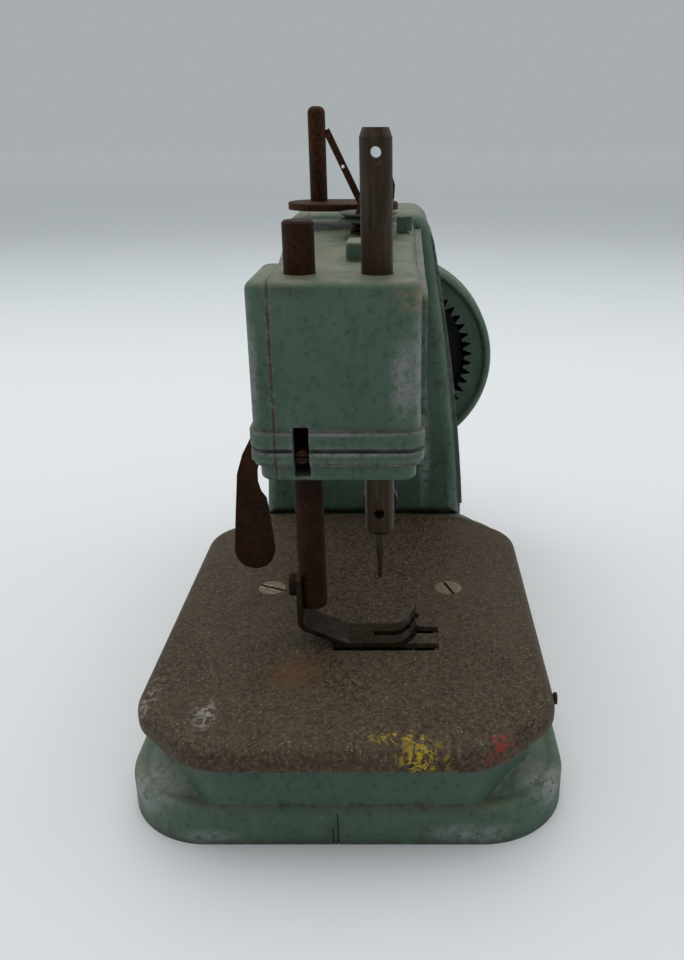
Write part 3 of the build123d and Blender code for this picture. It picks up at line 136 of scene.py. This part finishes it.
# ---------------------------------------------------------------- shader helpers
class Shader:
    """A node-based material that is put together from a few kinds of mask and mix."""

    def __init__(self, name):
        self.material = bpy.data.materials.new(name)
        self.material.use_nodes = True
        self.tree = self.material.node_tree
        self.surface = self.tree.nodes["Principled BSDF"]
        self.place = self.new("ShaderNodeTexCoord").outputs["Object"]
        self.normal = self.new("ShaderNodeNewGeometry").outputs["Normal"]

    def new(self, kind, **settings):
        node = self.tree.nodes.new(kind)
        for key, value in settings.items():
            setattr(node, key, value)
        return node

    def feed(self, socket, value):
        """Links a socket's value, or sets a plain one."""
        if isinstance(value, bpy.types.NodeSocket):
            self.tree.links.new(value, socket)
        elif isinstance(value, tuple) and len(value) == 3 and socket.type == "RGBA":
            socket.default_value = (*value, 1.0)
        else:
            socket.default_value = value

    def stretched(self, x, y, z):
        """Object coordinates scaled along each axis."""
        node = self.new("ShaderNodeMapping")
        self.feed(node.inputs["Vector"], self.place)
        node.inputs["Scale"].default_value = (x, y, z)
        return node.outputs["Vector"]

    def noise(self, size, detail=6.0, roughness=0.6, vector=None, distortion=0.0):
        """Noise whose blotches are about size metres across."""
        node = self.new("ShaderNodeTexNoise")
        self.feed(node.inputs["Vector"], vector or self.place)
        node.inputs["Scale"].default_value = 1.0 / size
        node.inputs["Detail"].default_value = detail
        node.inputs["Roughness"].default_value = roughness
        node.inputs["Distortion"].default_value = distortion
        return node.outputs["Fac"]

    def cells(self, size, randomness=1.0):
        node = self.new("ShaderNodeTexVoronoi")
        self.feed(node.inputs["Vector"], self.place)
        node.inputs["Scale"].default_value = 1.0 / size
        node.inputs["Randomness"].default_value = randomness
        return node.outputs["Distance"]

    def ramp(self, value, low, high, start=0.0, end=1.0):
        """Maps low..high to start..end and clamps it."""
        node = self.new("ShaderNodeMapRange")
        self.feed(node.inputs["Value"], value)
        for name, number in (("From Min", low), ("From Max", high), ("To Min", start), ("To Max", end)):
            node.inputs[name].default_value = number
        return node.outputs["Result"]

    def math(self, operation, a, b=0.0):
        node = self.new("ShaderNodeMath", operation=operation, use_clamp=operation in ("ADD", "MULTIPLY"))
        self.feed(node.inputs[0], a)
        self.feed(node.inputs[1], b)
        return node.outputs[0]

    def mix(self, mask, a, b):
        node = self.new("ShaderNodeMix", data_type="RGBA")
        self.feed(node.inputs["Factor"], mask)
        self.feed(node.inputs[6], a)
        self.feed(node.inputs[7], b)
        return node.outputs[2]

    def edges(self, radius, low=0.015, high=0.16):
        """A mask that is 1 along sharp edges."""
        bevel = self.new("ShaderNodeBevel", samples=4)
        bevel.inputs["Radius"].default_value = radius
        dot = self.new("ShaderNodeVectorMath", operation="DOT_PRODUCT")
        self.feed(dot.inputs[0], bevel.outputs["Normal"])
        self.feed(dot.inputs[1], self.normal)
        return self.ramp(self.math("SUBTRACT", 1.0, dot.outputs["Value"]), low, high)

    def crevices(self, distance, low=0.35, high=0.85):
        """A mask that is 1 in corners and gaps."""
        node = self.new("ShaderNodeAmbientOcclusion", samples=6)
        node.inputs["Distance"].default_value = distance
        return self.ramp(node.outputs["AO"], low, high, 1.0, 0.0)

    def upward(self, low=0.55, high=0.95):
        """A mask that is 1 on surfaces that face up."""
        node = self.new("ShaderNodeSeparateXYZ")
        self.feed(node.inputs[0], self.normal)
        return self.ramp(node.outputs["Z"], low, high)

    def near(self, centre, radius, soft=0.5, squash=(1, 1, 1)):
        """A soft-edged round patch about a point."""
        offset = self.new("ShaderNodeVectorMath", operation="SUBTRACT")
        self.feed(offset.inputs[0], self.place)
        offset.inputs[1].default_value = centre
        scaled = self.new("ShaderNodeVectorMath", operation="MULTIPLY")
        self.feed(scaled.inputs[0], offset.outputs[0])
        scaled.inputs[1].default_value = squash
        length = self.new("ShaderNodeVectorMath", operation="LENGTH")
        self.feed(length.inputs[0], scaled.outputs[0])
        return self.ramp(length.outputs["Value"], radius * soft, radius, 1.0, 0.0)

    def bump(self, height, distance, strength=1.0, over=None, bevel=0.0):
        node = self.new("ShaderNodeBump")
        self.feed(node.inputs["Height"], height)
        node.inputs["Distance"].default_value = distance
        node.inputs["Strength"].default_value = strength
        if over is not None:
            self.feed(node.inputs["Normal"], over)
        elif bevel:
            rounded = self.new("ShaderNodeBevel", samples=4)
            rounded.inputs["Radius"].default_value = bevel
            self.feed(node.inputs["Normal"], rounded.outputs["Normal"])
        return node.outputs["Normal"]

    def finish(self, colour, roughness, normal=None, metallic=0.0, specular=0.5):
        self.feed(self.surface.inputs["Base Color"], colour)
        self.feed(self.surface.inputs["Roughness"], roughness)
        self.feed(self.surface.inputs["Metallic"], metallic)
        self.surface.inputs["Specular IOR Level"].default_value = specular
        if normal is not None:
            self.feed(self.surface.inputs["Normal"], normal)
        return self.material


# ---------------------------------------------------------------- materials
def worn_paint(name, dusty=1.0, worn=1.0, rubs_and_highlights=(), shaded_hollow=()):
    """Old sea-green enamel on a zinc casting: faded, chipped on its edges, dusty on top, darkened by painted
    shade in its joints.

    Each listed patch is a worn place or a painted highlight: its centre, radius, squash and the colour that
    shows there. Black painted shade covers what lies inside both of the hollow places, each a centre, radius,
    softness and squash.
    """
    s = Shader(name)
    broad = s.noise(0.030, detail=5)
    fine = s.noise(0.0016, detail=8, roughness=0.7)
    speck = s.noise(0.0006, detail=3)
    colour = s.mix(s.ramp(broad, 0.38, 0.70, 0.0, 0.7), SEA_GREEN, PALE_GREEN)
    colour = s.mix(s.ramp(fine, 0.52, 0.68, 0.0, 0.60), colour, DEEP_GREEN)
    streaks = s.noise(0.006, detail=6, vector=s.stretched(1.0, 1.0, 0.18))
    colour = s.mix(s.ramp(streaks, 0.56, 0.74, 0.0, 0.55), colour, PALE_GREEN)
    stains = s.ramp(s.noise(0.011, detail=9, roughness=0.7), 0.56, 0.70, 0.0, 0.55)
    colour = s.mix(stains, colour, PAINT_STAIN)

    chips = s.math("ADD", s.edges(1.4 * MM), s.ramp(fine, 0.50, 0.80, -0.15, 0.35))
    patchy = s.math("MULTIPLY", chips, s.ramp(s.noise(0.004, detail=8), 0.34, 0.54))
    chipped = s.ramp(patchy, 0.16, 0.42, 0.0, worn)
    scuffs = s.ramp(s.noise(0.009, detail=10, roughness=0.72), 0.65, 0.71, 0.0, 0.75 * worn)
    bare = s.math("MAXIMUM", chipped, scuffs)
    colour = s.mix(bare, colour, s.mix(s.ramp(fine, 0.4, 0.6), ZINC, DULL_ZINC))
    ragged = s.ramp(s.noise(0.0022, detail=9, roughness=0.75), 0.40, 0.56)
    # worn patches and painted highlights, each a soft ragged patch
    for centre, radius, squash, under in rubs_and_highlights:
        rub_and_highlight = s.math("MULTIPLY", s.near(centre, radius, 0.35, squash), ragged)
        colour = s.mix(s.math("MULTIPLY", rub_and_highlight, 0.85), colour, under)
    # painted shade: the hollow behind the wheel's teeth is coloured black
    if shaded_hollow:
        first, second = (s.near(*place) for place in shaded_hollow)
        colour = s.mix(s.math("MULTIPLY", first, second), colour, HOLLOW_SHADE)

    # painted shade: the paint is darkened in patches in crevices and joints, where shade falls
    crevice_shade = s.math("MULTIPLY", s.crevices(3.5 * MM), s.ramp(s.noise(0.003, detail=6), 0.28, 0.52))
    colour = s.mix(s.math("MULTIPLY", crevice_shade, 0.85), colour, PAINTED_CREVICE_SHADE)
    settled = s.ramp(s.noise(0.007, detail=9, roughness=0.68), 0.33, 0.62)
    dust = s.math("MULTIPLY", s.upward(0.35, 0.9), settled)
    colour = s.mix(s.math("MULTIPLY", dust, 0.75 * dusty), colour, DUST)
    grains = s.math("MULTIPLY", s.ramp(speck, 0.64, 0.74), s.upward(0.2, 0.8))
    colour = s.mix(s.math("MULTIPLY", grains, 0.6 * dusty), colour, PALE_GRAIN)

    rough = s.ramp(s.noise(0.004), 0.3, 0.7, 0.40, 0.62)
    height = s.math("ADD", s.math("MULTIPLY", broad, 0.6), s.math("MULTIPLY", fine, 0.4))
    normal = s.bump(height, 0.35 * MM, 0.55, bevel=0.7 * MM)
    chips_normal = s.bump(s.math("SUBTRACT", 1.0, bare), 0.08 * MM, 0.8, over=normal)
    return s.finish(colour, rough, chips_normal, specular=0.30)


def hammered_coat(name):
    """Brown hammer-finish enamel on the steel bed, gritty and scratched, with a few wax-crayon marks."""
    s = Shader(name)
    broad = s.noise(0.035, detail=5)
    pits = s.noise(0.0011, detail=4, roughness=0.65)
    colour = s.mix(s.ramp(pits, 0.38, 0.62), DARK_COAT, BROWN_COAT)
    colour = s.mix(s.ramp(broad, 0.40, 0.72, 0.0, 0.30), colour, COAT_FADED)
    colour = s.mix(s.ramp(s.noise(0.0006, detail=3), 0.58, 0.68, 0.0, 0.75), colour, COAT_SPECK)
    rust = s.ramp(s.noise(0.012, detail=9, roughness=0.7), 0.58, 0.70, 0.0, 0.5)
    colour = s.mix(rust, colour, COAT_RUST)
    edge = s.math("MULTIPLY", s.edges(1.2 * MM, 0.01, 0.12), s.ramp(s.noise(0.004, detail=8), 0.45, 0.62))
    colour = s.mix(s.math("MULTIPLY", edge, 0.6), colour, COAT_EDGE)
    grains = s.ramp(s.noise(0.0009, detail=2), 0.69, 0.73)
    colour = s.mix(s.math("MULTIPLY", grains, 0.8), colour, GRIT)

    low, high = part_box("bed_plate")
    top = high.z - 2 * MM
    scribble = s.ramp(s.noise(0.0026, detail=7, distortion=1.6), 0.51, 0.57)
    rusty = s.near((low.x + 29 * MM, 13 * MM, top), 9 * MM, 0.2, (0.9, 1, 1))
    colour = s.mix(s.math("MULTIPLY", rusty, 0.55), colour, COAT_RUST_PATCH)
    for centre, radius, squash, wax in (
        ((low.x + 1 * MM, -17 * MM, top - 1 * MM), 5.5 * MM, (1.0, 0.75, 1.0), YELLOW_WAX),
        ((low.x + 5 * MM, -12 * MM, top), 5.5 * MM, (1.8, 0.60, 1.0), YELLOW_WAX),
        ((low.x + 3 * MM, -34 * MM, top), 6 * MM, (1.0, 1.2, 1.0), RED_WAX),
        ((low.x + 13 * MM, 31 * MM, top), 5 * MM, (0.7, 1.3, 1.0), COAT_SCRATCH),
        ((low.x + 20 * MM, 45 * MM, top), 4.5 * MM, (0.45, 1.6, 1.0), CORNER_SCRATCH),
    ):
        mark = s.math("MULTIPLY", s.near(centre, radius, 0.3, squash), scribble)
        colour = s.mix(s.math("MULTIPLY", mark, 0.85), colour, wax)

    height = s.math("ADD", s.math("MULTIPLY", pits, 0.8), s.math("MULTIPLY", s.cells(0.0024), 0.35))
    normal = s.bump(height, 0.30 * MM, 0.6, bevel=0.4 * MM)
    return s.finish(colour, s.ramp(pits, 0.35, 0.65, 0.50, 0.75), normal, specular=0.16)


def rusty_steel(name, orange=0.5, dark=0.6):
    """Steel with an even coat of old brown rust."""
    s = Shader(name)
    broad = s.noise(0.007, detail=8, roughness=0.65)
    fine = s.noise(0.0010, detail=7, roughness=0.7)
    colour = s.mix(s.ramp(broad, 0.34, 0.66, 0.0, 1.0), DARK_RUST, BROWN_RUST)
    colour = s.mix(s.ramp(fine, 0.46, 0.70, 0.0, orange), colour, RUST)
    colour = s.mix(s.ramp(s.noise(0.004, detail=6), 0.50, 0.70, 0.0, dark), colour, BLACK_RUST)
    worn = s.math("MULTIPLY", s.edges(0.6 * MM), s.ramp(s.noise(0.003, detail=7), 0.45, 0.6))
    colour = s.mix(s.math("MULTIPLY", worn, 0.5), colour, RUBBED_RUST)
    height = s.math("ADD", s.math("MULTIPLY", broad, 0.5), s.math("MULTIPLY", fine, 0.6))
    normal = s.bump(height, 0.16 * MM, 0.8, bevel=0.3 * MM)
    return s.finish(colour, s.ramp(fine, 0.3, 0.7, 0.50, 0.80), normal, metallic=0.15, specular=0.14)


def stained_steel(name, streak=(1.0, 1.0, 0.10), base=OLD_STEEL, stain=DARK_STEEL, metal=0.55):
    """Bright steel gone brown, with drawn marks along its length and some worn spots."""
    s = Shader(name)
    drawn = s.noise(0.0016, detail=7, roughness=0.7, vector=s.stretched(*streak))
    broad = s.noise(0.009, detail=7)
    fine = s.noise(0.0008, detail=6, roughness=0.7)
    colour = s.mix(s.ramp(drawn, 0.40, 0.64), base, stain)
    colour = s.mix(s.ramp(broad, 0.46, 0.68, 0.0, 0.75), colour, STEEL_RUST)
    colour = s.mix(s.ramp(fine, 0.58, 0.70, 0.0, 0.65), colour, STEEL_PITS)
    bright = s.ramp(s.noise(0.012, detail=8, roughness=0.66), 0.62, 0.70, 0.0, 0.5)
    colour = s.mix(bright, colour, STEEL_BRIGHT)
    height = s.math("ADD", s.math("MULTIPLY", drawn, 0.5), s.math("MULTIPLY", fine, 0.6))
    normal = s.bump(height, 0.08 * MM, 0.8, bevel=0.3 * MM)
    return s.finish(colour, s.ramp(fine, 0.3, 0.7, 0.38, 0.62), normal, metallic=metal, specular=0.25)


def old_brass(name):
    """Brass-washed screws: dull, with dirt in the slots and pale corrosion."""
    s = Shader(name)
    fine = s.noise(0.0009, detail=7, roughness=0.7)
    colour = s.mix(s.ramp(fine, 0.38, 0.66), BRASS, BRASS_TARNISH)
    colour = s.mix(s.ramp(s.noise(0.0022, detail=6), 0.52, 0.66, 0.0, 0.7), colour, BRASS_BLOOM)
    colour = s.mix(s.math("MULTIPLY", s.crevices(1.2 * MM), 0.9), colour, BRASS_DIRT)
    return s.finish(colour, 0.48, s.bump(fine, 0.08 * MM, 0.8, bevel=0.25 * MM), metallic=0.6)


def oiled_steel(name):
    """Machined inner steel, darkened by old oil."""
    s = Shader(name)
    turned = s.noise(0.0008, detail=6, roughness=0.65, vector=s.stretched(4.0, 1.0, 1.0))
    broad = s.noise(0.008, detail=6)
    colour = s.mix(s.ramp(turned, 0.38, 0.66), MACHINED, MACHINED_DARK)
    colour = s.mix(s.ramp(broad, 0.48, 0.70, 0.0, 0.7), colour, OIL_VARNISH)
    colour = s.mix(s.math("MULTIPLY", s.crevices(2.0 * MM), 0.8), colour, OIL_DIRT)
    normal = s.bump(turned, 0.04 * MM, 0.7, bevel=0.2 * MM)
    return s.finish(colour, s.ramp(broad, 0.3, 0.7, 0.28, 0.50), normal, metallic=0.8)


def dark_knob(name):
    """Dark lacquered wood, turned and handled."""
    s = Shader(name)
    grain = s.noise(0.0030, detail=8, roughness=0.6, vector=s.stretched(0.16, 1.0, 1.0), distortion=0.6)
    colour = s.mix(s.ramp(grain, 0.36, 0.66), LACQUER_DARK, LACQUER_LIGHT)
    handled = s.ramp(s.noise(0.006, detail=9, roughness=0.7), 0.62, 0.70, 0.0, 0.6)
    colour = s.mix(handled, colour, LACQUER_WORN)
    return s.finish(colour, s.ramp(grain, 0.3, 0.7, 0.24, 0.40), s.bump(grain, 0.05 * MM, 0.6))


def head_wear_and_highlights():
    """Where hands and knocks have worn the head and the arm through to grey zinc or brown primer, and where
    highlights are painted on its band ridges and the column's edge.
    """
    low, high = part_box("body_casting")
    end = low.x
    return (
        ((end, 15.2 * MM, 0), 0.55 * MM, (0, 1, 0), RUST_STAIN),
        ((end + 2 * MM, -17 * MM, 101 * MM), 3.0 * MM, (1, 1, 0.16), GREY_RUB_AND_RIDGE_HIGHLIGHT),
        ((end + 1 * MM, -13 * MM, 99 * MM), 3.5 * MM, (1, 1, 0.30), GREY_RUB_AND_RIDGE_HIGHLIGHT),
        ((end + 1 * MM, 20 * MM, 102 * MM), 2.6 * MM, (1, 1, 0.13), GREY_RUB_AND_RIDGE_HIGHLIGHT),
        # painted highlights: two pale lines along the top edges of the bands on the head's front
        ((end, 2 * MM, 82.2 * MM), 1.1 * MM, (0.3, 0.05, 1), GREY_RUB_AND_RIDGE_HIGHLIGHT),
        ((end, 2 * MM, 86.9 * MM), 0.9 * MM, (0.3, 0.05, 1), GREY_RUB_AND_RIDGE_HIGHLIGHT),
        ((end + 4 * MM, -14 * MM, 116 * MM), 6.0 * MM, (1, 0.9, 1.6), RUBBED_PRIMER),
        ((end + 5 * MM, 9.4 * MM, 118 * MM), 7.0 * MM, (1, 1, 2.0), RUST_STAIN),
        ((end + 7 * MM, -7.4 * MM, 118 * MM), 6.5 * MM, (1, 1, 2.0), RUST_STAIN),
        # painted highlight: a pale strip down the column's rounded edge, where light catches it
        ((high.x - 40 * MM, -20 * MM, 48 * MM), 2.5 * MM, (1, 1, 0.10), PAINTED_EDGE_HIGHLIGHT),
    )


def base_wear():
    """Where the base's corners have been knocked bare."""
    low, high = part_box("base_casting")
    return (
        ((low.x + 8 * MM, high.y - 6 * MM, 9 * MM), 9 * MM, (1, 0.7, 1.4), KNOCKED_BARE),
        ((low.x + 10 * MM, low.y + 5 * MM, 9 * MM), 7 * MM, (1, 0.7, 1.4), KNOCKED_BARE),
        ((low.x + 2 * MM, -28 * MM, 3 * MM), 6 * MM, (1, 0.5, 1.6), KNOCKED_BARE),
        ((low.x + 2 * MM, 30 * MM, 2 * MM), 5 * MM, (1, 0.6, 1.6), KNOCKED_BARE),
    )


def wheel_hollow():
    """Where shade is painted black in the room behind the hand wheel's ring of teeth."""
    low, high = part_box("hand_wheel")
    middle = (low + high) / 2
    centre = (low.x + HOLLOW, middle.y, middle.z)
    round_the_axle = (centre, HOLLOW_RADIUS, 0.97, (0, 1, 1))
    between_the_faces = (centre, HOLLOW - HOLLOW_START, 0.94, (1, 0, 0))
    return round_the_axle, between_the_faces


def paint_nodes():
    """Gives every CAD node its finish."""
    paint = worn_paint("sea_green_enamel", rubs_and_highlights=head_wear_and_highlights())
    base_paint = worn_paint("sea_green_enamel_base", dusty=0.5, rubs_and_highlights=base_wear())
    shaded_paint = worn_paint("sea_green_enamel_wheel", dusty=0.25, worn=0.6, shaded_hollow=wheel_hollow())
    plate = hammered_coat("brown_hammer_enamel")
    rust = rusty_steel("brown_rust")
    bright_rust = rusty_steel("orange_rust", orange=0.95, dark=0.25)
    bar = stained_steel("needle_bar_steel")
    foot = stained_steel("presser_foot_steel", (1.0, 0.3, 1.0), FOOT_STEEL, FOOT_STAIN)
    discs = stained_steel("tension_disc_steel", (1.0, 1.0, 1.0), DISC_STEEL, DISC_STAIN, 0.3)
    brass = old_brass("brass_washed_screw")
    inner = oiled_steel("oiled_steel")
    finishes = {
        paint: ["body_casting", "rear_cover", "thread_guide_tab"],
        base_paint: ["base_casting"],
        shaded_paint: ["hand_wheel"],
        plate: ["bed_plate"],
        rust: [
            "presser_bar", "lifter_lever", "tension_spring", "bow_spring",
            "foot_screw", "bed_side_screw", "presser_guide_screw", "tension_stud",
        ],
        bright_rust: [
            "spool_bracket", "spool_pin", "thread_strip", "tension_nut", "spool_screw", "spool_spacer",
        ],
        bar: ["needle_bar", "needle", "needle_clamp_screw", "cover_screws"],
        foot: ["presser_foot"],
        discs: ["tension_discs"],
        brass: ["bed_screws", "shaft_bushes"],
        dark_knob("dark_lacquer"): ["crank_knob"],
    }
    named = {name for names in finishes.values() for name in names}
    finishes[inner] = [name for name in nodes if name not in named]
    for material, names in finishes.items():
        for name in names:
            mesh = nodes[name].data
            mesh.materials.clear()
            mesh.materials.append(material)


# ---------------------------------------------------------------- stage, light and camera
def floor():
    """A large pale floor that gets a little darker far behind the object, painted shade standing in for a
    dimmer backdrop.
    """
    mesh = bpy.data.meshes.new("floor")
    corners = [(FLOOR_REACH * x, FLOOR_REACH * y, 0) for x, y in ((-1, -1), (1, -1), (1, 1), (-1, 1))]
    mesh.from_pydata(corners, [], [(0, 1, 2, 3)])
    ground = bpy.data.objects.new("floor", mesh)
    ground.location.z = cad_low.z - 0.05 * MM
    bpy.context.scene.collection.objects.link(ground)
    s = Shader("pale_sweep")
    split = s.new("ShaderNodeSeparateXYZ")
    s.feed(split.inputs[0], s.place)
    colour = FLOOR_NEAR
    # painted shade: the floor is coloured darker behind the object, as a dimmer backdrop would look
    for start, end, beyond in ((0.15, 0.60, FLOOR_BESIDE), (0.35, 1.1, FLOOR_BEHIND), (1.1, 3.0, FLOOR_FAR)):
        colour = s.mix(s.ramp(split.outputs["X"], start, end), colour, beyond)
    s.finish(colour, 0.75, specular=0.2)
    mesh.materials.append(s.material)


def soft_light(name, place, target, size, power, colour):
    light = bpy.data.lights.new(name, "AREA")
    light.shape = "RECTANGLE"
    light.size, light.size_y = size
    light.energy = power
    light.color = colour
    lamp = bpy.data.objects.new(name, light)
    lamp.location = place
    lamp.rotation_mode = "QUATERNION"
    lamp.rotation_quaternion = (Vector(target) - Vector(place)).to_track_quat("-Z", "Y")
    bpy.context.scene.collection.objects.link(lamp)


def fade(tree, value, low, high, start=0.0, end=1.0):
    """A world node that maps low..high to start..end and clamps it."""
    node = tree.nodes.new("ShaderNodeMapRange")
    tree.links.new(value, node.inputs["Value"])
    for name, number in (("From Min", low), ("From Max", high), ("To Min", start), ("To Max", end)):
        node.inputs[name].default_value = number
    return node.outputs["Result"]


def surroundings():
    """The studio round the stage: a bright ceiling and far wall, and a dim wall on the head's side."""
    world = bpy.data.worlds.new("studio")
    bpy.context.scene.world = world
    world.use_nodes = True
    tree = world.node_tree
    way = tree.nodes.new("ShaderNodeTexCoord")
    split = tree.nodes.new("ShaderNodeSeparateXYZ")
    tree.links.new(way.outputs["Generated"], split.inputs[0])
    total = tree.nodes.new("ShaderNodeMix")
    tree.links.new(fade(tree, split.outputs["Z"], 0.18, 0.75), total.inputs[0])
    tree.links.new(fade(tree, split.outputs["X"], -0.5, 0.6, FRONT_LEVEL, WALL_LEVEL), total.inputs[2])
    total.inputs[3].default_value = SKY_LEVEL
    background = tree.nodes["Background"]
    background.inputs["Color"].default_value = (*COOL_SKY, 1.0)
    tree.links.new(total.outputs[0], background.inputs["Strength"])


def lights():
    """A soft light overhead and a weaker one on each side."""
    soft_light("overhead", (0.20, 0.05, 0.85), (0.02, 0, 0), (0.9, 1.1), OVERHEAD_WATTS, WARM_LIGHT)
    for name, x, y in (("left_window", 0.10, 0.80), ("right_window", 0.15, -0.80)):
        soft_light(name, (x, y, 0.50), (0, 0, 0.05), (0.7, 0.5), WINDOW_WATTS, COOL_LIGHT)


def camera():
    """Looks along the arm from in front of the head, a little from above."""
    lens = bpy.data.cameras.new("camera")
    lens.sensor_width = SENSOR_WIDTH
    lens.lens = FOCAL_LENGTH
    lens.shift_x = SIDE_SHIFT
    lens.clip_start = 0.01
    eye = bpy.data.objects.new("camera", lens)
    eye.location = (cad_low.x - EYE_FRONT, EYE_Y, EYE_HEIGHT)
    eye.rotation_euler = (math.radians(90.0 - TILT_DOWN), 0.0, math.radians(-90.0))
    bpy.context.scene.collection.objects.link(eye)
    bpy.context.scene.camera = eye


paint_nodes()
floor()
surroundings()
lights()
camera()
bpy.context.scene.view_settings.view_transform = "Standard"
